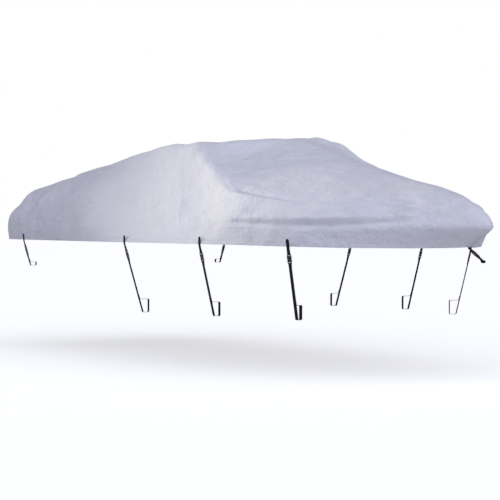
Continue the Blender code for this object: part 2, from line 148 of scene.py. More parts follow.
# Creases pressed into the cloth: width and height in millimetres (a trough's is negative),
# and the places in centimetres that the crease runs through, starboard being negative.
CREASES = [
    # the foot of the slope forward of the screen, and the pocket at its bow end
    (34, -9, [(290, -80, 31), (312, -83, 23), (337, -87, 15)]),
    (30, -20, [(320, -81, 22), (337, -82, 18), (357, -78, 15), (382, -70, 12), (413, -52, 11),
        (442, -30, 11), (458, -19, 12)]),
    (26, 13, [(322, -86, 18), (337, -87.5, 15), (357, -83.5, 12), (382, -75.5, 10),
        (413, -57.5, 9), (440, -35, 9)]),
    (50, 13, [(330, -91, 7), (360, -88, 5), (390, -77, 4), (420, -58, 4), (445, -38, 6)]),
    (24, -12, [(430, -42, 10), (446, -31, 10), (460, -20, 11)]),
    (30, -8, [(302, 80, 29), (330, 84, 19), (362, 79, 13), (400, 64, 10), (430, 42, 10)]),
    # the fold over the gunwale, standing out above and drawn in below
    (20, 7, [(326, -96, -1), (353, -93, -0.5), (382, -84, -1), (415, -67, 0), (434, -53, 1),
        (452, -38, 2.5), (463, -26, 5)]),
    (17, -9, [(326, -96, -4.5), (353, -93, -4), (382, -84, -5), (415, -67, -5.5), (434, -53, -4.5),
        (452, -38, -3), (466, -26, -1)]),
    (20, 6, [(330, 96, -1), (362, 90, -0.5), (395, 78, -1), (425, 60, 0), (450, 40, 2)]),
    (18, -7, [(330, 96, -4.5), (362, 90, -4.5), (395, 78, -4), (425, 60, -3), (450, 40, -1)]),
    (20, 6, [(386, -82, -1.5), (415, -67, -1.5), (434, -53, -0.5), (452, -38, 1), (461, -28, 3)]),
    (18, -11, [(386, -83, -5), (415, -67, -5.5), (434, -53, -4.5), (452, -38, -3),
        (464, -28, -1.2)]),
    # round the bow
    (14, 11, [(452, -36, 2), (464, -22, 6), (470, -12, 9), (472, 0, 11), (468, 14, 11)]),
    (22, -13, [(458, -33, -2), (471, -20, 2), (476, -10, 6), (478, 2, 8)]),
    (20, -5, [(455, 30, -2), (468, 20, 2), (475, 8, 6)]),
    # pulls above the middle tie-downs
    (12, 3, [(268, -93, 5), (284, -94, -4), (298, -97, -12)]),
    (12, -4.2, [(274, -90, 8), (292, -92, 0), (306, -96, -9)]),
    (12, 3.2, [(284, -90, 8), (302, -93, -1), (316, -97, -10)]),
    (11, -3.6, [(294, -90, 6), (312, -95, -3), (325, -97, -12)]),
    (14, -3.8, [(282, 93, 5), (295, 95, -3), (302, 98, -12)]),
    (13, 3, [(310, 96, 2), (307, 97, -5), (306, 98, -12)]),
    (13, -3.4, [(336, 94, 0), (322, 97, -6), (310, 98, -13)]),
    # pulls above the bow tie-downs
    (14, 4, [(392, -79, -15), (404, -73, -8), (416, -65, -3)]),
    (13, -3.6, [(398, -76, -16), (409, -70, -10), (420, -63, -4)]),
    (13, 3, [(406, -71, -16), (417, -65, -10), (426, -58, -5)]),
    (14, -3, [(382, -83, -14), (374, -86, -9), (362, -90, -5)]),
    (15, -3.6, [(384, 82, -15), (370, 87, -8), (356, 91, -4)]),
    (13, 3, [(390, 79, -15), (396, 77, -8), (408, 71, -3)]),
    # soft upright draws amidships
    (40, -5.1, [(173, -76, 40), (194, -88, 17), (217, -102, -11)]),
    (26, 3.7, [(183, -76, 41), (206, -88, 17), (226, -102, -11)]),
    (30, 5.1, [(191, -75, 43), (216, -88, 17), (239, -102, -12)]),
    (24, -3.7, [(203, -75, 45), (228, -88, 18), (248, -102, -12)]),
    (34, -5.1, [(213, -74, 46), (237, -87, 20), (259, -102, -13)]),
    (28, 4.4, [(232, -73, 49), (256, -86, 20), (276, -100, -13)]),
    (36, -6.1, [(195, 75, 45), (202, 90, 15), (206, 104, -12)]),
    (30, 5.1, [(225, 75, 46), (222, 90, 15), (212, 104, -12)]),
    (34, -5.1, [(252, 76, 42), (244, 90, 15), (220, 104, -13)]),
    # the slack side and its dimple towards the stern
    (100, -17, [(99, -103, -8), (127, -101, 0), (146, -98, 7), (164, -93, 14), (182, -87, 20)]),
    (80, 10, [(71, -98, 9), (98, -95, 14), (126, -92, 18), (145, -86, 26)]),
    (55, -11, [(36, -101, -3), (62, -101, -1)]),
    (60, 5, [(30, -93, 16), (55, -94, 15), (85, -98, 7)]),
    (50, -4.5, [(26, -100, -6), (45, -99, 6), (75, -90, 20)]),
    (80, -7.5, [(55, 99, 2), (90, 96, 11), (130, 90, 20)]),
    (70, 6, [(85, 101, -4), (125, 98, 6), (170, 88, 21)]),
    (50, -5, [(24, 100, -8), (36, 97, 8), (42, 85, 24)]),
    # the stern
    (40, -5.5, [(-18, -84, -10), (-19, -62, 0), (-17, -30, 6)]),
    (45, 4.5, [(-17, -80, 5), (-14, -50, 13), (-12, -15, 16)]),
    (40, -5, [(-18, 86, -6), (-18, 55, 3), (-16, 20, 9)]),
    (50, 4.5, [(-12, 82, 12), (-12, 48, 17), (-10, 15, 20)]),
    # the screen's top, fuller to starboard and cut away at its port shoulder
    (110, 14, [(250, -50, 55), (266, -38, 56), (272, -22, 56), (278, -2, 57)]),
    (140, -28, [(256, 50, 56), (277, 50, 51), (292, 55, 44), (320, 55, 34)]),
    (80, -34, [(232, 70, 55), (250, 71, 52), (264, 73, 46), (280, 77, 38)]),
    (55, 16, [(264, 20, 57), (272, 33, 57), (270, 44, 55)]),
    # the shoulders beside the seats, drawn up tight
    (90, 17, [(60, -75, 32), (119, -72, 39), (182, -69, 49), (230, -70, 54)]),
    (90, 12, [(60, 75, 32), (125, 72, 40), (190, 70, 50), (230, 70, 54)]),
    # the corners of the stern, drawn in between the fold and the seats
    (95, -40, [(-16, -45, 10), (-12, -84, 10), (-4, -96, 9), (12, -95, 12), (42, -95, 13)]),
    (95, -34, [(-16, 40, 10), (-12, 84, 10), (-4, 96, 9), (14, 95, 12), (40, 95, 13)]),
    # the nose, where it slopes down from the deck
    (85, -20, [(450, 2, 18), (460, 12, 12), (476, 12, 6), (490, 5, -3)]),
    # over the seats and the slope forward of the screen
    (90, -6, [(55, -55, 33), (100, -25, 36), (130, 15, 41)]),
    (80, -5.5, [(50, 50, 33), (95, 45, 37), (145, 52, 44)]),
    (50, -4, [(274, -56, 49), (292, -52, 42), (319, -56, 32)]),
    (50, 4, [(280, -31, 52), (297, -26, 48), (329, -31, 37)]),
    (60, -3.6, [(295, 2, 52), (330, 5, 44), (375, -4, 34)]),
    (55, -4.5, [(272, 60, 50), (295, 52, 42), (325, 55, 31)]),
]
# Slow unevenness of the whole cloth: its height, and how fast it comes and goes along each axis.
WANDER = [
    (0.002, (5.3, 7.1, 9.7), 0.4), (0.0016, (9.1, -6.3, 12.9), 2.1),
    (0.0011, (-14.7, 11.3, 17.9), 4.4), (0.0007, (23.9, 19.3, -27.1), 1.3),
]

# ---- how fine the cloth is
STATION_STEPS = [18, 16, 8, 10, 20, 26, 36, 28, 34, 34, 22, 20, 18, 18, 16, 8]
SKIRT_STEPS = 9  # rows from the brow to the fold
SIDE_STEPS = 26  # from the fold to the ridge
TOP_STEPS = 36  # from the ridge to the middle line
# Rows between hem and brow, as heights above the hem's edge.
TUCK_HEIGHTS = [0.0, 0.002, 0.006, 0.013, 0.02, 0.024, 0.028, 0.036, 0.048, 0.062, 0.076,
                0.09, 0.104, 0.117]
BROW_ROW = len(TUCK_HEIGHTS) - 1
FOLD_ROW = BROW_ROW + SKIRT_STEPS
RIDGE_ROW = FOLD_ROW + SIDE_STEPS
HEM_STITCH_ROWS = [2, 5]
HEM_ROWS = 6  # the hem's double cloth ends at this row
TREE_ROWS = 20  # the tabs are sewn to the cloth below this row
HEM_THICK = 0.004
STITCH_LENGTH = 0.0036
STITCH_PITCH = 0.0054
BOX_STITCH_LENGTH = 0.0025
BOX_STITCH_PITCH = 0.0036
BOX_MARGIN = 0.0035  # from the webbing's edge to the box stitches
PATH_STEP = 0.003  # between the webbing's cross sections
END_HALF = 0.003  # half the width of its rounded end
THREAD = 0.0007  # half thickness
STITCH_SINK = 0.0005
CREASE_FADE = 0.16  # the longest stretch over which a crease dies out
CREASE_END = 0.3  # and the largest share of its length
HEM_RELIEF = 0.25  # the share of the relief's height at the hem's edge
HEM_CALM = 0.03  # how far up it is full
# How the rows' folds are rounded: where, how many rows wide, how often and how strongly.
ROUNDED = ((BROW_ROW, 3.0), (FOLD_ROW, 2.0), (RIDGE_ROW, 2.0))
ROUNDS = 14
TAUT_ROUNDS = 3  # rounds where the cloth is taut; the others are for slack cloth alone
ROUNDING = 0.8
SLACK_BELOW, SLACK_SPAN = 2.1, 0.9  # places towards the stern where it is slack
BOW_BELOW, BOW_SPAN, BOW_SHARE = 4.75, 0.4, 0.15  # and where the bow keeps its edges


# ---- lines and form of the cover
def lengths_along(lines):
    """How far along a line, or each of several lines side by side, its points lie."""
    steps = np.linalg.norm(np.diff(lines, axis=0), axis=-1)
    return np.concatenate([np.zeros_like(steps[:1]), np.cumsum(steps, axis=0)])


def read_line(at, runs, values):
    """Values that are given at the lengths in runs, read at those in at."""
    return np.stack([np.interp(at, runs, column) for column in np.asarray(values).T], axis=-1)


def closed(loop):
    return np.concatenate([loop, loop[:1]])


def unit(vectors):
    return vectors / (np.linalg.norm(vectors, axis=-1, keepdims=True) + 1e-12)


def smooth(rows, values, at, level_ends=False):
    """A curve through values at rows that never overshoots them, read at the places in at."""
    rows = np.asarray(rows, float)
    values = np.asarray(values, float)
    steps = np.diff(rows)
    rises = np.diff(values) / steps
    slopes = np.zeros(len(values))
    if not level_ends:
        slopes[0], slopes[-1] = rises[0], rises[-1]
    for i in range(1, len(rises)):
        if rises[i - 1] * rises[i] > 0:
            near = 2 * steps[i] + steps[i - 1]
            far = steps[i] + 2 * steps[i - 1]
            slopes[i] = (near + far) / (near / rises[i - 1] + far / rises[i])
    at = np.clip(np.asarray(at, float), rows[0], rows[-1])
    i = np.clip(np.searchsorted(rows, at) - 1, 0, len(rises) - 1)
    t = (at - rows[i]) / steps[i]
    eased = t**2 * (3 - 2 * t)
    return (values[i] * (1 - eased) + values[i + 1] * eased
            + t * (1 - t) * steps[i] * ((1 - t) * slopes[i] - t * slopes[i + 1]))


def ring(table, at):
    """Points of a ring at the stations in at, as columns place, half breadth, height."""
    rows = range(len(table))
    return np.stack([smooth(rows, column, at, level)
                     for column, level in zip(zip(*table), (True, False, True))], axis=-1)


def sheet_height(table, place, across):
    columns = np.array(table, float).T
    width, edge, middle, flatness = [smooth(columns[0], column, place) for column in columns[1:]]
    return middle + (edge - middle) * (np.abs(across) / width) ** flatness


def top_height(place, across):
    """Height of the cloth over the middle: the lower sheet, rounded where the two meet."""
    aft = sheet_height(AFT_SHEET, place, across)
    fore = sheet_height(FORE_SHEET, place, across)
    share = np.clip(0.5 + 0.5 * (fore - aft) / SOFT_EDGE, 0, 1)
    return fore * (1 - share) + aft * share - SOFT_EDGE * share * (1 - share)


ORIGIN = np.array([SCREEN_PLACE, 0.0, top_height(SCREEN_PLACE, 0.0) - CLOTH])


def even_shares(count):
    """Even shares from just above 0 up to 1."""
    return np.arange(1, count + 1) / count


def half_rows(at):
    """All rows of one half, from the hem up to the middle line, at the stations in at."""
    hem, brow, fold, ridge = [ring(table, at) for table in (HEM, BROW, FOLD, RIDGE)]
    rows = [hem + (brow - hem) * height / TUCK_HEIGHTS[-1] for height in TUCK_HEIGHTS]
    pull = (NOSE_FULLNESS * np.stack([brow[:, 0], brow[:, 1], fold[:, 2]], axis=1)
            + (1 - NOSE_FULLNESS) * (brow + fold) / 2)
    nose = np.clip((at - NOSE_STATION) / NOSE_SPAN, 0, 1)[:, None]
    for share in even_shares(SKIRT_STEPS):
        full = (1 - share)**2 * brow + 2 * share * (1 - share) * pull + share**2 * fold
        rows.append((brow + (fold - brow) * share) * (1 - nose) + full * nose)
    across = ridge - fold
    level = np.hypot(across[:, 0], across[:, 1])[:, None]
    length = np.linalg.norm(across, axis=1)[:, None]
    outward = -across[:, :2] / (level + 1e-9)
    normal = np.concatenate([outward * across[:, 2:] / length, level / length], axis=1)
    bulge = smooth(range(len(SIDE_BULGE)), SIDE_BULGE, at)[:, None]
    rows += [fold + across * share + normal * bulge * 4 * share * (1 - share)
             for share in even_shares(SIDE_STEPS)]
    spine = smooth(range(len(SPINE)), SPINE, at, True)
    lift = ridge[:, 2] - top_height(ridge[:, 0], ridge[:, 1])
    for share in even_shares(TOP_STEPS):
        place = ridge[:, 0] * (1 - share) + spine * share
        half = ridge[:, 1] * (1 - share)
        rows.append(np.stack([place, half, top_height(place, half) + lift * (1 - share)**2], 1))
    return rows


def listed(points, side):
    """Mirror half rows to a side, and let the screen's top stand higher to port."""
    points = points * (1, side, 1)
    near = np.exp(-((points[..., 0] - LIST_PLACE) / LIST_REACH) ** 2)
    inside = np.clip(1 - (points[..., 1] / SCREEN_HALF_WIDTH) ** 2, 0, 1)
    points[..., 2] += LIST * points[..., 1] * near * inside
    return points


def cloth_grid():
    """Rows of points right round the cover, from the hem up, in the tables' own coordinates."""
    at = [i + k / steps for i, steps in enumerate(STATION_STEPS) for k in range(steps)]
    at = np.array(at + [len(STATION_STEPS)])
    half = np.array(half_rows(at))
    return np.concatenate([listed(half, -1), listed(half[:, -2:0:-1], 1)], axis=1)


def soften(grid):
    """Round the folds between rows, more where the cloth is slack and less over the bow."""
    rows = np.arange(len(grid))
    weight = np.max([np.exp(-((rows - row) / reach) ** 2) for row, reach in ROUNDED], axis=0)
    weight[:HEM_ROWS + 2] = weight[-1] = 0
    weight = weight[1:-1, None, None] * ROUNDING
    place = grid[FOLD_ROW, :, 0]
    slack = np.clip((SLACK_BELOW - place) / SLACK_SPAN, 0, 1)
    taut = np.clip((BOW_BELOW - place) / BOW_SPAN, BOW_SHARE, 1)
    for step in range(ROUNDS):
        share = taut if step < TAUT_ROUNDS else slack
        middle = (grid[:-2] + grid[2:]) / 2
        grid[1:-1] += (middle - grid[1:-1]) * weight * share[None, :, None]
    return grid


def outward_normals(grid):
    along = np.roll(grid, -1, axis=1) - np.roll(grid, 1, axis=1)
    normals = np.cross(along, np.gradient(grid, axis=0))
    normals[-1] = normals[-2]
    return unit(normals)


def crease(grid, width, height, places):
    """Height over the whole grid of one crease, a row of CREASES, fading out at its ends."""
    width, height, places = width / 1000, height / 1000, np.array(places) / 100
    flat = grid.reshape(-1, 3)
    line = [flat[((flat - place) ** 2).sum(axis=1).argmin()] for place in places]
    runs = lengths_along(line)
    shares = runs / runs[-1]
    nearest = np.full(grid.shape[:2], np.inf)
    run = np.zeros_like(nearest)
    for start, end, first, last in zip(line, line[1:], shares, shares[1:]):
        ahead = end - start
        share = np.clip(((grid - start) @ ahead) / (ahead @ ahead), 0, 1)
        away = np.linalg.norm(grid - start - share[..., None] * ahead, axis=2)
        closer = away < nearest
        nearest = np.where(closer, away, nearest)
        run = np.where(closer, first + share * (last - first), run)
    fade = np.clip(np.minimum(run, 1 - run) * max(1 / CREASE_END, runs[-1] / CREASE_FADE), 0, 1)
    return height * fade**2 * (3 - 2 * fade) * np.exp(-(nearest / width) ** 2)


def relief(grid):
    """How far the cloth stands out from its smooth form: creases, and a slow unevenness."""
    height = sum(crease(grid, *row) for row in CREASES)
    for size, rates, phase in WANDER:
        height = height + size * np.sin(grid @ rates + phase)
    above = np.linalg.norm(grid - grid[0], axis=2)
    height *= np.clip(above / HEM_CALM, HEM_RELIEF, 1)
    height[HEM_STITCH_ROWS] -= STITCH_SINK
    return height


# ---- shared helpers
def collect(obj):
    bpy.context.scene.collection.objects.link(obj)
    return obj


def add_mesh(name, points, faces, finishes, chart=None, slots=None):
    """A smooth mesh. chart holds a place on the flat cloth in metres for each corner of a face."""
    mesh = bpy.data.meshes.new(name)
    mesh.from_pydata([tuple(point) for point in points], [], faces)
    for finish in finishes:
        mesh.materials.append(finish)
    if chart is not None:
        layer = mesh.uv_layers.new(name="chart")
        layer.data.foreach_set("uv", np.array(chart, float).ravel())
    if slots is not None:
        mesh.polygons.foreach_set("material_index", slots)
    mesh.shade_smooth()
    mesh.update()
    return collect(bpy.data.objects.new(name, mesh))


class Stitches:
    """A growing set of short threads, each a long eight-sided bead."""

    def __init__(self):
        self.points = []
        self.faces = []

    def add(self, start, end, out):
        middle = (start + end) / 2
        side = unit(np.cross(end - start, out)) * THREAD
        lift = out * THREAD
        first = len(self.points)
        self.points += [start, end, middle + side, middle + lift, middle - side, middle - lift]
        for a, b in ((2, 3), (3, 4), (4, 5), (5, 2)):
            self.faces += [[first, first + a, first + b], [first + 1, first + b, first + a]]

    def add_line(self, line, outs, pitch=STITCH_PITCH, length=STITCH_LENGTH):
        """Stitches at an even pitch along a line of points with outward directions."""
        runs = lengths_along(line)
        starts = np.arange(pitch / 2, runs[-1] - length, pitch)
        for stitch in zip(read_line(starts, runs, line), read_line(starts + length, runs, line),
                          unit(read_line(starts, runs, outs))):
            self.add(*stitch)


# ---- materials
def shader_of(name, colour, roughness, inputs=()):
    """A new material, and the Nodes that feed its shader."""
    made = bpy.data.materials.new(name)
    made.use_nodes = True
    shader = made.node_tree.nodes["Principled BSDF"]
    shader.inputs["Base Color"].default_value = (*colour, 1.0)
    shader.inputs["Roughness"].default_value = roughness
    for key, value in dict(inputs).items():
        shader.inputs[key].default_value = value
    return made, Nodes(made.node_tree, shader)


class Nodes:
    """Short ways to add shader nodes and to feed what they give to the last one."""

    def __init__(self, tree, last):
        self.tree = tree
        self.last = last

    def feed(self, key, output):
        self.tree.links.new(output, self.last.inputs[key])

    def new(self, kind, inputs=(), **values):
        """Outputs of a new node, whose inputs are each joined to an output or set to a value."""
        node = self.tree.nodes.new(kind)
        for name, value in values.items():
            setattr(node, name, value)
        for key, value in dict(inputs).items():
            if isinstance(value, bpy.types.NodeSocket):
                self.tree.links.new(value, node.inputs[key])
            else:
                node.inputs[key].default_value = value
        return node.outputs

    def places(self):
        return self.new("ShaderNodeTexCoord")

    def axes(self, vector):
        return self.new("ShaderNodeSeparateXYZ", {0: vector})

    def math(self, operation, first, second=0.0):
        return self.new("ShaderNodeMath", {0: first, 1: second}, operation=operation)[0]

    def scaled(self, vector, factors):
        return self.new("ShaderNodeVectorMath", {0: vector, 1: factors}, operation="MULTIPLY")[0]

    def noise(self, vector, scale, detail=2.0, roughness=0.5):
        return self.new("ShaderNodeTexNoise", {"Vector": vector, "Scale": scale, "Detail": detail,
                                               "Roughness": roughness})["Fac"]

    def ramp(self, value, low, high, first=0.0, last=1.0):
        return self.new("ShaderNodeMapRange", {"Value": value, "From Min": low, "From Max": high,
                                               "To Min": first, "To Max": last})["Result"]

    def mix(self, factor, first, second):
        return self.new("ShaderNodeMix", {"Factor": factor, "A": first, "B": second},
                        data_type="RGBA")["Result"]

    def bump(self, height, distance, normal=None):
        inputs = {"Height": height, "Distance": distance, "Strength": 1.0}
        if normal is not None:
            inputs["Normal"] = normal
        return self.new("ShaderNodeBump", inputs)["Normal"]

    def weave(self, chart, pitch, along=1.0):
        """A plain weave: threads that pass over and under each other at the pitch given."""
        axes = self.axes(chart)
        turns = math.pi / pitch
        warp = self.math("SINE", self.math("MULTIPLY", axes["X"], turns * along))
        weft = self.math("SINE", self.math("MULTIPLY", axes["Y"], turns))
        return self.math("MULTIPLY", warp, weft)


def cloth_material():
    """Coated polyester: fine weave, faint mottling, small wrinkles and puckers along the hem."""
    made, nodes = shader_of("cover_cloth", CLOTH_COLOUR, 0.82, {
        "Specular IOR Level": 0.25, "Sheen Weight": 0.12, "Sheen Roughness": 0.6})
    places = nodes.places()
    here, chart = places["Object"], places["UV"]
    blotch = nodes.noise(here, 2.3, 3.0)
    fleck = nodes.noise(here, 34.0, 4.0, 0.65)
    tone = nodes.math("ADD", nodes.math("MULTIPLY", blotch, 0.6),
                      nodes.math("MULTIPLY", fleck, 0.4))
    shade = nodes.ramp(tone, 0.35, 0.65)
    colour = nodes.mix(shade, *[(*[c * tint for c in CLOTH_COLOUR], 1.0)
                                for tint in (1 - MOTTLE, 1 + MOTTLE)])
    weave = nodes.weave(chart, 0.0011)
    threads = nodes.ramp(weave, -1.0, 1.0)
    nodes.feed("Base Color", nodes.mix(nodes.math("MULTIPLY", threads, 0.1), colour,
                                       (0.45, 0.45, 0.52, 1.0)))
    wrinkle = nodes.noise(nodes.scaled(here, (0.8, 1.0, 1.3)), 9.0, 5.0, 0.55)
    crinkle = nodes.noise(nodes.scaled(here, (1.6, 1.0, 0.7)), 34.0, 3.0, 0.5)
    normal = nodes.bump(wrinkle, WRINKLE)
    normal = nodes.bump(crinkle, CRINKLE, normal)
    near_hem = nodes.ramp(nodes.axes(chart)["Y"], 0.006, 0.06, 1.0, 0.0)
    pucker = nodes.math("MULTIPLY", nodes.noise(nodes.scaled(chart, (52.0, 5.0, 1.0)), 1.0, 2.0),
                        near_hem)
    normal = nodes.bump(pucker, 0.0022, normal)
    normal = nodes.bump(weave, 0.00008, normal)
    nodes.feed("Normal", normal)
    return made


def webbing_material():
    """Black webbing with its ribbed weave and a painted highlight along its edges, broken up by
    noise.
    """
    made, nodes = shader_of("black_webbing", (0.008, 0.008, 0.009), 0.85,
                            {"Specular IOR Level": 0.2})
    places = nodes.places()
    chart = places["UV"]
    weave = nodes.weave(chart, 0.0013, 0.55)
    # painted highlight: the webbing's edges are coloured paler, in patches of noise
    edge = nodes.ramp(nodes.math("ABSOLUTE", nodes.axes(chart)["Y"]), 0.0095, 0.0125)
    edge_highlight = nodes.math("MULTIPLY", edge, nodes.noise(places["Object"], 60.0, 3.0))
    colour = nodes.mix(nodes.ramp(weave, -1.0, 1.0, 0.0, 0.5), (0.005, 0.005, 0.006, 1.0),
                       (0.013, 0.013, 0.015, 1.0))
    nodes.feed("Base Color", nodes.mix(edge_highlight, colour, (0.03, 0.03, 0.033, 1.0)))
    nodes.feed("Normal", nodes.bump(weave, 0.00035))
    return made


def plastic_material():
    """Moulded black acetal with a fine satin texture and scuffs."""
    made, nodes = shader_of("black_plastic", (0.02, 0.02, 0.022), 0.36)
    here = nodes.places()["Object"]
    scuff = nodes.noise(here, 90.0, 4.0, 0.6)
    nodes.feed("Roughness", nodes.ramp(scuff, 0.3, 0.75, 0.3, 0.46))
    nodes.feed("Normal", nodes.bump(nodes.noise(here, 900.0, 2.0), 0.00006))
    return made


def thread_material(name, colour):
    made, nodes = shader_of(name, colour, 0.6)
    twist = nodes.noise(nodes.places()["Object"], 1500.0, 1.0)
    nodes.feed("Normal", nodes.bump(twist, 0.0002))
    return made


# ---- the cover
def skin(rings, chart_rows, chart_columns):
    """Points and faces of a closed skin, and each face corner's place on the flat cloth. The
    first and last ring lie on the spine, where the cloth's two halves meet."""
    count = len(rings[0])
    spines = (0, len(rings) - 1)
    bases, points = [], []
    for k, loop in enumerate(rings):
        bases.append(len(points))
        points += list(loop[:count // 2 + 1] if k in spines else loop)

    def index(k, column):
        column %= count
        return bases[k] + (min(column, count - column) if k in spines else column)

    faces, chart = [], []
    for k in range(len(rings) - 1):
        for column in range(count):
            corners = [(k, column), (k + 1, column), (k + 1, column + 1), (k, column + 1)]
            faces.append([index(*corner) for corner in corners])
            chart += [(chart_columns[place], chart_rows[row][place % count])
                      for row, place in corners]
    return points, faces, chart


def make_cover(finish):
    """The cloth with both faces, its turned hem and rounded edge. Also returns its outer grid."""
    grid = soften(cloth_grid())
    grid += outward_normals(grid) * relief(grid)[..., None]
    normals = outward_normals(grid)
    rise = lengths_along(grid)
    along = lengths_along(closed(grid[0]))
    thick = np.full(len(grid), CLOTH)
    thick[:HEM_ROWS] = HEM_THICK
    thick[HEM_ROWS] = (CLOTH + HEM_THICK) / 2
    inner = grid - normals * thick[:, None, None]
    middle, half = (grid[0] + inner[0]) / 2, (grid[0] - inner[0]) / 2
    down = unit(grid[0] - grid[1]) * HEM_THICK / 2
    edge = [middle + half * math.cos(turn) + down * math.sin(turn)
            for turn in np.radians([30, 90, 150])]
    inner_rows = [*range(HEM_ROWS + 2), *range(HEM_ROWS + 3, len(grid) - 1, 2), len(grid) - 1]
    rings = [loop - ORIGIN for loop in (*grid[::-1], *edge, *inner[inner_rows])]
    chart_rows = [*rise[::-1], *[rise[0]] * len(edge), *rise[inner_rows]]
    points, faces, chart = skin(rings, chart_rows, along)
    cover = add_mesh("cover_fabric", points, faces, [finish], chart)
    return cover, grid - ORIGIN, normals


def make_hem_stitches(grid, normals, finish):
    """Two rows of stitching through the hem, right round the cover."""
    stitches = Stitches()
    for row in HEM_STITCH_ROWS:
        outs = closed(normals[row])
        stitches.add_line(closed(grid[row]) + outs * THREAD * 0.3, outs)
    return add_mesh("hem_stitching", stitches.points, stitches.faces, [finish])


# ---- tie-downs
class Hang:
    """A vertical plane in which a tie-down lies, square to the hem at one place.

    Points in it are (out, up): out from the hem's outer face, up from the gunwale's height.
    """

    def __init__(self, foot, outward):
        self.foot = Vector((foot[0], foot[1], -ORIGIN[2]))
        self.outward = Vector((outward[0], outward[1], 0.0)).normalized()
        self.along = self.outward.cross(Vector((0, 0, 1)))

    def point(self, out, up, along=0.0):
        return self.foot + self.outward * out + Vector((0, 0, up)) + self.along * along


SIDE_STATIONS = (4, 14)  # the side lies between these stations
FINE_STATIONS = 2001
RAY = 0.2  # how far from the hem the cloth's face is looked for
EASING = 0.6  # of a webbing's corners


def side_hang(place, side):
    """The hanging plane at a place along the hem of one side."""
    hem = ring(HEM, np.linspace(*SIDE_STATIONS, FINE_STATIONS))
    i = np.abs(hem[:, 0] - place).argmin()
    tangent = hem[i + 1] - hem[i - 1]
    foot = (hem[i, 0] - ORIGIN[0], side * hem[i, 1])
    return Hang(foot, (-tangent[1], side * tangent[0])), float(hem[i, 2])


def between(start, end, count):
    """Points between start and end, both left out."""
    return [tuple(point) for point in np.linspace(start, end, count + 2)[1:-1]]


def cloth_face(tree, hang, up, inside=False):
    """How far out the middle of webbing sewn on the cloth lies at one height, on either face."""
    facing = 1 if inside else -1
    hits = [tree.ray_cast(hang.point(-facing * RAY, up, along), hang.outward * facing)[0]
            for along in (-WEBBING_WIDTH / 2, 0.0, WEBBING_WIDTH / 2)]
    reaches = [(hit - hang.foot).dot(hang.outward) for hit in hits if hit]
    return min(reaches) - CLEAR if inside else max(reaches + [0.0]) + CLEAR


def turned(points, pivot, lean):
    """Points given as (out, down) from a pivot, turned so that down leans inboard by lean."""
    return [(pivot[0] + out * math.cos(lean) - down * math.sin(lean),
             pivot[1] - out * math.sin(lean) - down * math.cos(lean)) for out, down in points]


def fold_round_bar(to_bar):
    """(out, down) points of webbing that comes along one face of a bar, round it and back."""
    side = BUCKLE_THICK / 2 + CLEAR
    front = [(PAIR, -FOLD_TAPER), (side, -0.001), (side, BAR + 0.0004),
             (side - 0.0006, BAR + CLEAR)]
    back = [(-out, down) for out, down in reversed(front)]
    return [(out, down if to_bar else -down) for out, down in front + back]


def rail_loop(outer, under, tall, lean):
    """A strap's path to a rail's lower outer edge, right round the rail and up on itself."""
    inner = outer - RAIL_WIDTH
    top = under + tall
    corner = 0.005
    cut = corner * 0.3
    meet = outer + tall * math.tan(lean)
    lap = turned([(-2 * PAIR, -0.005), (-2 * PAIR, -LAP)], (meet, top), lean)
    return [(outer, under + corner), (outer - cut, under + cut), (outer - corner, under),
            (outer - RAIL_WIDTH / 2, under), (inner + corner, under), (inner + cut, under + cut),
            (inner, under + corner), (inner, top - corner), (inner + cut, top - cut),
            (inner + corner, top), (meet - 2 * PAIR - corner, top)] + lap


def finer(path):
    """A path cut into short steps, with its corners eased."""
    points = np.array(path, float)
    runs = lengths_along(points)
    made = read_line(np.linspace(0, runs[-1], max(8, int(runs[-1] / PATH_STEP) + 1)), runs, points)
    for _ in range(2):
        made[1:-1] += ((made[:-2] + made[2:]) / 2 - made[1:-1]) * EASING
    return made


# Webbing's section: shares of its half width and half thickness, right round.
SECTION = [(-1.0, 0.3), (-0.96, 0.95), (-0.6, 1.0), (0.0, 1.0), (0.6, 1.0), (0.96, 0.95),
           (1.0, 0.3)]
SECTION += [(wide, -thick) for wide, thick in reversed(SECTION)]


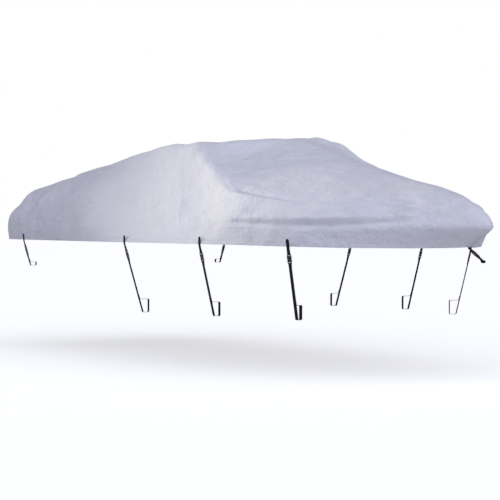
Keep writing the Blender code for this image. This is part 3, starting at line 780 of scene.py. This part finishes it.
class Ribbon:
    """A strip of webbing along a path in a hanging plane, with the stitches sewn into it."""

    def __init__(self, hang, path, rounded_start=False):
        self.hang = hang
        self.path = finer(path)
        self.runs = lengths_along(self.path)
        self.tangents = unit(np.gradient(self.path, self.runs, axis=0))
        self.rounded = rounded_start
        self.stitches = Stitches()

    def at(self, run, across, lift):
        """A point on the webbing: how far along, across, and above the middle of its thickness."""
        out, up = read_line(run, self.runs, self.path)
        away, rise = read_line(run, self.runs, self.tangents)
        return np.array(self.hang.point(out - rise * lift, up + away * lift, across))

    def sew(self, corners, face):
        """Stitches along a run of (along, across) corners on the face that is 1 or -1."""
        lift = face * (WEBBING / 2 + THREAD * 0.2)
        for start, end in zip(corners, corners[1:]):
            spots = np.linspace(start, end, 9)
            line = np.array([self.at(*spot, lift) for spot in spots])
            outs = np.array([self.at(*spot, 2 * lift) for spot in spots]) - line
            self.stitches.add_line(line, outs, BOX_STITCH_PITCH, BOX_STITCH_LENGTH)

    def sew_box(self, start, end, face):
        """A box with a cross in it, as webbing is sewn down."""
        half = WEBBING_WIDTH / 2 - BOX_MARGIN
        self.sew([(start, -half), (end, -half), (end, half), (start, half), (start, -half),
                  (end, half)], face)
        self.sew([(start, half), (end, -half)], face)

    def make(self, name, finishes):
        points, faces, chart = [], [], []
        count = len(SECTION)
        for run in self.runs:
            half = WEBBING_WIDTH / 2
            if self.rounded and run < half:
                half = max(END_HALF, math.sqrt(half**2 - (half - run)**2))
            points += [self.at(run, wide * half, thick * WEBBING / 2) for wide, thick in SECTION]
        for i in range(len(self.runs) - 1):
            for k in range(count):
                corners = [(i, k), (i + 1, k), (i + 1, (k + 1) % count), (i, (k + 1) % count)]
                faces.append([row * count + column for row, column in corners])
                chart += [(self.runs[row], SECTION[column][0] * WEBBING_WIDTH / 2)
                          for row, column in corners]
        shift = len(points)
        faces += [[*range(count)], [*range(shift - 1, shift - 1 - count, -1)]]
        slots = [0] * len(faces) + [1] * len(self.stitches.faces)
        faces += [[shift + v for v in face] for face in self.stitches.faces]
        chart += [(0.0, 0.0)] * (2 * count + 3 * len(self.stitches.faces))
        return add_mesh(name, points + self.stitches.points, faces, finishes, chart, slots)


def rounded_box(left, top, right, bottom, radius):
    """Points round a box with rounded corners."""
    points = []
    for x, y, start in ((right - radius, bottom - radius, 0), (left + radius, bottom - radius, 90),
                        (left + radius, top + radius, 180), (right - radius, top + radius, 270)):
        for angle in np.radians(start + np.linspace(0, 90, 5)):
            points.append((x + radius * math.cos(angle), y + radius * math.sin(angle)))
    return points


def plate(outlines, half_thick, rim):
    """A flat moulding with rounded rims. The first outline bounds it, and the others are holes."""
    curve = bpy.data.curves.new("outline", "CURVE")
    curve.dimensions = "2D"
    curve.fill_mode = "BOTH"
    curve.extrude = half_thick - rim
    curve.bevel_depth = rim
    curve.bevel_resolution = 2
    curve.offset = -rim
    for outline in outlines:
        spline = curve.splines.new("POLY")
        spline.points.add(len(outline) - 1)
        for point, (x, y) in zip(spline.points, outline):
            point.co = (x, y, 0.0, 1.0)
        spline.use_cyclic_u = True
    mesh = bpy.data.meshes.new_from_object(bpy.data.objects.new("outline", curve))
    points = [vertex.co.copy() for vertex in mesh.vertices]
    faces = [list(face.vertices) for face in mesh.polygons]
    bpy.data.curves.remove(curve)
    bpy.data.meshes.remove(mesh)
    return points, faces


def make_moulding(name, plates, hang, seat, lean, finish):
    """Plates joined into one buckle half. Their x runs across it and y down it from the seat."""
    points, faces = [], []
    for outlines, half_thick, rim in plates:
        more, loops = plate(outlines, half_thick, rim)
        shift = len(points)
        for x, y, z in more:
            (out, up), = turned([(z, y)], seat, lean)
            points.append(hang.point(out, up, x))
        faces += [[shift + v for v in loop] for loop in loops]
    return add_mesh(name, points, faces, [finish])


SOCKET_WINDOW = (0.0125, 0.0265)  # where the plug's buttons show, down from the socket's top
BUTTON_REACH = 0.0052  # how far the windows reach in from the buckle's sides
BUTTON_GAP = 0.0011
RIM = 0.0008  # how far the plates' edges are rounded
HALF = BUCKLE_WIDTH / 2
SLOT_HALF = WEBBING_WIDTH / 2 + 0.001


def middle_box(half, top, bottom, radius):
    return rounded_box(-half, top, half, bottom, radius)


def socket_plates():
    """The socket's outlines, half thicknesses and rims: its body, a crown on it and its lip."""
    top, bottom = SOCKET_WINDOW
    waist = HALF - BUTTON_REACH
    right = [(HALF - 0.003, 0.0), (HALF, 0.003), (HALF, top), (waist, top + 0.0015),
             (waist, bottom - 0.0015), (HALF, bottom), (HALF, SOCKET_LENGTH - 0.001),
             (HALF - 0.001, SOCKET_LENGTH)]
    body = right + [(-x, y) for x, y in reversed(right)]
    slot = middle_box(SLOT_HALF, BAR, BAR + SLOT, 0.0012)
    crown = middle_box(waist - 0.0006, BAR + SLOT + 0.0032, SOCKET_LENGTH - RIM, 0.003)
    lip = middle_box(HALF - RIM, SOCKET_LENGTH - 0.0062, SOCKET_LENGTH - 0.0002, 0.0014)
    return [([body, slot], BUCKLE_THICK / 2, RIM), ([crown], 0.0038, 0.0014),
            ([lip], 0.0034, 0.0012)]


def plug_plates():
    """The plug's plates, as the socket's: body, crown, and two buttons with three ribs each."""
    body = middle_box(HALF, 0.0, PLUG_LENGTH, 0.003)
    slot = middle_box(SLOT_HALF, PLUG_LENGTH - BAR - SLOT, PLUG_LENGTH - BAR, 0.0012)
    crown = middle_box(HALF - 0.0035, 0.0012, 0.011, 0.0035)
    plates = [([body, slot], BUCKLE_THICK / 2, RIM), ([crown], 0.0034, 0.0012)]
    top = SOCKET_WINDOW[0] + BUTTON_GAP - SOCKET_LENGTH - GAP
    bottom = SOCKET_WINDOW[1] - BUTTON_GAP - SOCKET_LENGTH - GAP
    for side in (-1, 1):
        left, right = sorted([side * (HALF - BUTTON_REACH + 0.0004), side * (HALF + 0.0012)])
        plates.append(([rounded_box(left, top, right, bottom, 0.0016)], 0.0023, 0.0009))
        for k in range(3):
            y = top + 0.0028 + 0.0027 * k
            rib = rounded_box(side * HALF - 0.0012, y, side * HALF + 0.0014, y + 0.0012, 0.0004)
            plates.append(([rib], 0.0028, 0.0004))
    return plates


def make_tie_down(label, hang, tab, seat, aim, far_end, finishes, sewn, face, tab_lap=LAP,
                  left_out=LAP):
    """Tab, buckle halves and strap of one tie-down, in place of the frame's nodes.

    tab is the (out, up) path of the tab down to its buckle, seat the middle of the buckle's top
    and aim the point that the buckle hangs towards. far_end(lean) is the strap's path from there.
    sewn gives the stretch of the tab that is sewn to the cloth, and face the side it shows. The
    strap is measured without the laps at its two ends, which are left_out long.
    """
    webbing, plastic, thread = finishes
    lean = math.atan2(seat[0] - aim[0], seat[1] - aim[1])
    folded = turned([(PAIR, -tab_lap)] + fold_round_bar(True) + [(-PAIR, -tab_lap)], seat, lean)
    ribbon = Ribbon(hang, tab + between(tab[-1], folded[0], 2) + folded, True)
    ribbon.sew_box(*sewn, face)
    ribbon.sew([(sewn[1] + 0.006, -0.009), (sewn[1] + 0.006, 0.009)], face)
    tab_piece = ribbon.make(label + "_tab_webbing", [webbing, thread])
    below = SOCKET_LENGTH + GAP
    plug_seat, bar = turned([(0.0, below), (0.0, below + PLUG_LENGTH)], seat, lean)
    socket = make_moulding(label + "_socket_body", socket_plates(), hang, seat, lean, plastic)
    plug = make_moulding(label + "_plug_body", plug_plates(), hang, plug_seat, lean, plastic)
    wrap = turned([(-PAIR, LAP)] + fold_round_bar(False)[::-1], bar, lean)
    far = far_end(lean)
    ribbon = Ribbon(hang, wrap + between(wrap[-1], far[0], 8) + far)
    ribbon.sew_box(0.004, LAP - 0.006, 1)
    end = ribbon.runs[-1]
    ribbon.sew_box(end - LAP + 0.01, end - 0.003, 1)
    strap = ribbon.make(label + "_strap_webbing", [webbing, thread])
    for piece, node, slot in ((tab_piece, "_tab", "black_webbing"),
                              (socket, "_socket", "black_plastic"),
                              (plug, "_plug", "black_plastic"),
                              (strap, "_strap", "black_webbing")):
        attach(piece, "root")
        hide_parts(label + node)
    line = ribbon.path[(ribbon.runs >= left_out) & (ribbon.runs <= end - left_out)]
    path = [tuple(hang.point(*point)) for point in line]


def make_side_tie_down(label, hang, hem_up, rail, tree, finishes):
    """A tie-down at the side. Its tab is sewn on outside, and its strap goes round a rail."""
    outer, under, tall = rail
    heights = np.linspace(hem_up + TAB_ABOVE_HEM, hem_up - TAB_BELOW_HEM, 12)
    tab = [(cloth_face(tree, hang, up), up) for up in heights.tolist()]
    out, up = tab[-1]
    seat = (out + (outer - out) * (up + BUCKLE_DEPTH) / (up - under), -BUCKLE_DEPTH)
    make_tie_down(label, hang, tab, seat, (outer, under),
                  lambda lean: rail_loop(outer, under, tall, lean), finishes,
                  (0.005, TAB_ABOVE_HEM - 0.012), -1)


def make_bow_tie_down(tree, finishes):
    """The short tie-down under the bow, from a tab inside the hem to an eye."""
    edge = HEM[-1]
    hang = Hang((edge[0] - ORIGIN[0], 0.0), (1, 0))
    slope = (BROW[-1][0] - edge[0]) / (BROW[-1][2] - edge[2])
    aslant = CLEAR * (math.hypot(1.0, slope) - 1.0)
    tab = [(cloth_face(tree, hang, edge[2] + above, inside=True) - aslant, edge[2] + above)
           for above in BOW_TAB_HEIGHTS]
    last = tab[-1]
    tab += [(last[0] + out, last[1] + up) for out, up in BOW_TAB_TURN]
    seat = (BOW_BUCKLE[0], edge[2] + BOW_BUCKLE[1])
    aim = (BOW_EYE[0], edge[2] + BOW_EYE[1])

    def eye(lean):
        turn = [(EYE_RADIUS * math.cos(angle), -EYE_RADIUS * math.sin(angle))
                for angle in np.radians(np.linspace(50, -230, 9))]
        return turned([(PAIR, -0.016), *turn, (-PAIR, -0.014), (-PAIR, -0.022)], aim, lean)

    make_tie_down("bow", hang, tab, seat, aim, eye, finishes, (0.005, 0.028), 1, BOW_TAB_LAP, 0.0)


def make_tie_downs(grid, finishes):
    count = grid.shape[1]
    faces = [[row * count + column, row * count + (column + 1) % count,
              (row + 1) * count + (column + 1) % count, (row + 1) * count + column]
             for row in range(TREE_ROWS) for column in range(count)]
    points = grid[:TREE_ROWS + 1].reshape(-1, 3)
    tree = BVHTree.FromPolygons([Vector(point) for point in points], faces)
    for side, side_name in ((-1, "starboard"), (1, "port")):
        for name, place, depth, inboard, tall in TIE_DOWNS:
            hang, hem_up = side_hang(place, side)
            rail = (-inboard, -depth, tall)
            make_side_tie_down(side_name + "_" + name, hang, hem_up, rail, tree, finishes)
    make_bow_tie_down(tree, finishes)


# ---- stage, light and camera
CAMERA_PLACE = (10.949, -7.395, -0.579)
CAMERA_HEADING = math.radians(33.0)  # between the line of sight and the middle line
PICTURE = 500.0  # the picture's width and height in pixels
FOCAL_PIXELS = 1750.0  # focal length in the same pixels
HORIZON_PIXEL = 217.0  # the horizon's height in that picture
FLOOR_DEPTH = 1.68
FILL_COLOUR = (0.98, 1.0, 1.12, 1.0)
FILL_LEVEL = 0.24  # the surround's mean brightness
FILL_LEAST = 0.05
FILL_SLOPE = (1.1, -0.35, 0.5)  # how it grows towards the bow, port and up
KEY_PLACE = (-8.57, -6.21, 1.0)
KEY_TARGET = (0.22, -1.25, -0.08)
KEY_POWER = 9.0
KEY_COLOUR = (1.0, 0.97, 0.79)
KEY_SIZE = 0.5
KEY_SPREAD = math.radians(15.0)
FLOOR_COLOUR = (0.7, 0.7, 0.7)
FLOOR_GLOW = 0.55


def put(data, place, aim):
    """A lamp or camera at a place, looking along aim."""
    made = collect(bpy.data.objects.new(data.name, data))
    made.location = place
    made.rotation_euler = Vector(aim).to_track_quat("-Z", "Y").to_euler()
    return made


def make_camera():
    data = bpy.data.cameras.new("camera")
    data.lens = FOCAL_PIXELS * data.sensor_width / PICTURE
    data.clip_end = 200.0
    tilt = math.atan((PICTURE / 2 - HORIZON_PIXEL) / FOCAL_PIXELS)
    aim = (-math.cos(CAMERA_HEADING) * math.cos(tilt),
           math.sin(CAMERA_HEADING) * math.cos(tilt), -math.sin(tilt))
    bpy.context.scene.camera = put(data, CAMERA_PLACE, aim)


def make_key():
    data = bpy.data.lights.new("key", "AREA")
    data.size = KEY_SIZE
    data.energy = KEY_POWER
    data.color = KEY_COLOUR
    data.spread = KEY_SPREAD
    put(data, KEY_PLACE, Vector(KEY_TARGET) - Vector(KEY_PLACE))


def make_world():
    """A white surround for the eye, and a soft one for light that is brighter ahead and above."""
    world = bpy.data.worlds.new("studio")
    world.use_nodes = True
    nodes = Nodes(world.node_tree, world.node_tree.nodes["World Output"])
    seen = world.node_tree.nodes["Background"]
    seen.inputs["Color"].default_value = (1.0, 1.0, 1.0, 1.0)
    facing = nodes.new("ShaderNodeVectorMath", {0: nodes.places()["Generated"], 1: FILL_SLOPE},
                       operation="DOT_PRODUCT")["Value"]
    level = nodes.math("MAXIMUM", nodes.math("ADD", facing, FILL_LEVEL), FILL_LEAST)
    fill = nodes.new("ShaderNodeBackground", {"Color": FILL_COLOUR, "Strength": level})
    ray = nodes.new("ShaderNodeLightPath")["Is Camera Ray"]
    mixed = nodes.new("ShaderNodeMixShader", {"Fac": ray, 1: fill["Background"],
                                              2: seen.outputs["Background"]})
    nodes.feed("Surface", mixed["Shader"])
    bpy.context.scene.world = world


def make_stage():
    finish, nodes = shader_of("pale_floor", FLOOR_COLOUR, 0.9,
                              {"Emission Color": (1.0, 1.0, 1.0, 1.0)})
    ray = nodes.new("ShaderNodeLightPath")["Is Camera Ray"]
    nodes.feed("Emission Strength", nodes.math("MULTIPLY", ray, FLOOR_GLOW))
    floor = add_mesh("floor", [(-60, -60, 0), (60, -60, 0), (60, 60, 0), (-60, 60, 0)],
                     [[0, 1, 2, 3]], [finish])
    floor.location.z = -FLOOR_DEPTH
    make_world()
    make_key()
    bpy.context.scene.view_settings.view_transform = "Standard"


def main():
    make_camera()
    cover, grid, normals = make_cover(cloth_material())
    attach(cover, "root")
    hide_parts("cover_cloth")
    stitching = make_hem_stitches(grid, normals, thread_material("grey_thread", (0.5, 0.5, 0.56)))
    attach(stitching, "root")
    finishes = (webbing_material(), plastic_material(),
                thread_material("black_thread", (0.03, 0.03, 0.034)))
    make_tie_downs(grid, finishes)
    make_stage()


main()
